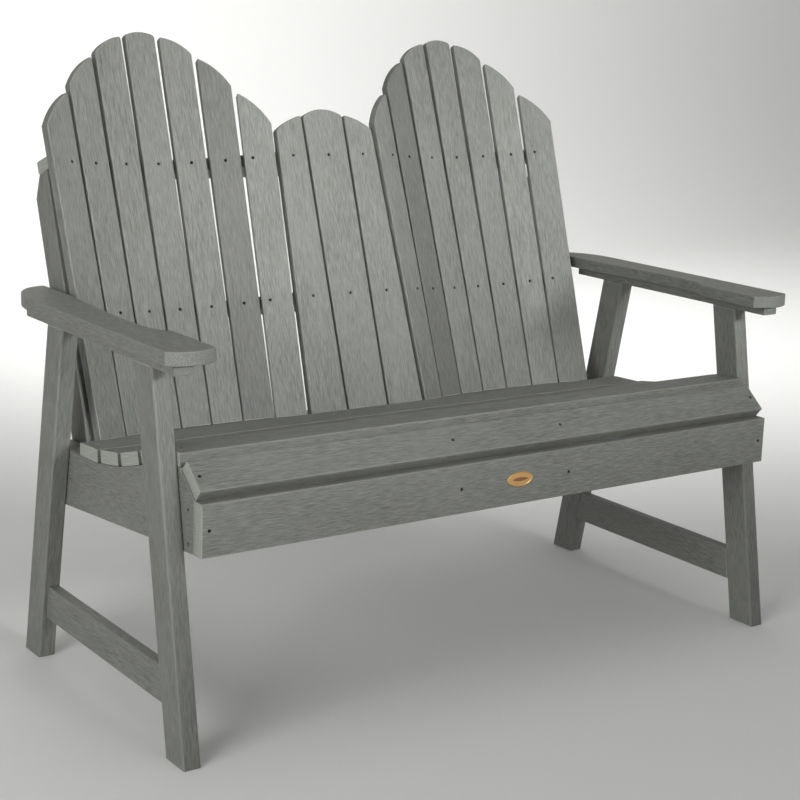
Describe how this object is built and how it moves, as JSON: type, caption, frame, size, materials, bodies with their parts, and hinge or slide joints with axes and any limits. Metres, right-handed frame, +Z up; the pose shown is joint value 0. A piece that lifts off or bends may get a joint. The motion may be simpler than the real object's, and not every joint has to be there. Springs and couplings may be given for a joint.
{
  "type": "garden bench",
  "caption": "Two-seat garden bench of plastic lumber with a fan-shaped slatted back in two scooped arches, a dished slatted seat, wide armrests and splayed legs.",
  "frame": {"origin": "on the ground, under the middle of the bench's bounding box", "axes": "+X along the bench from its left arm to its right arm as seen from the front, +Y from the front to the back, +Z up"},
  "size_m": [1.202, 0.7087, 1.0072],
  "materials": {
    "lumber": "grey-green recycled-plastic lumber, brushed wood grain along each board, matt",
    "badge": "satin brass plate, plain"
  },
  "bodies": {
    "root": {"apron_badge": "badge", "arm_rail_left": "lumber", "arm_rail_right": "lumber", "armrest_left": "lumber", "armrest_right": "lumber", "back_rail_lower": "lumber", "back_rail_upper": "lumber", "back_slat_01": "lumber", "back_slat_02": "lumber", "back_slat_03": "lumber", "back_slat_04": "lumber", "back_slat_05": "lumber", "back_slat_06": "lumber", "back_slat_07": "lumber", "back_slat_08": "lumber", "back_slat_09": "lumber", "back_slat_10": "lumber", "back_slat_11": "lumber", "back_slat_12": "lumber", "back_slat_13": "lumber", "back_slat_14": "lumber", "back_slat_15": "lumber", "back_slat_16": "lumber", "back_slat_17": "lumber", "back_upright_left": "lumber", "back_upright_right": "lumber", "centre_stringer_left": "lumber", "centre_stringer_right": "lumber", "corner_block_left": "lumber", "corner_block_right": "lumber", "front_apron": "lumber", "front_leg_left": "lumber", "front_leg_right": "lumber", "rear_leg_left": "lumber", "rear_leg_right": "lumber", "seat_nose_board": "lumber", "seat_rear_board": "lumber", "seat_slat_1": "lumber", "seat_slat_2": "lumber", "seat_slat_3": "lumber", "seat_slat_4": "lumber", "seat_slat_5": "lumber", "seat_stringer_left": "lumber", "seat_stringer_right": "lumber", "stretcher_left": "lumber", "stretcher_right": "lumber"}
  },
  "joints": []
}
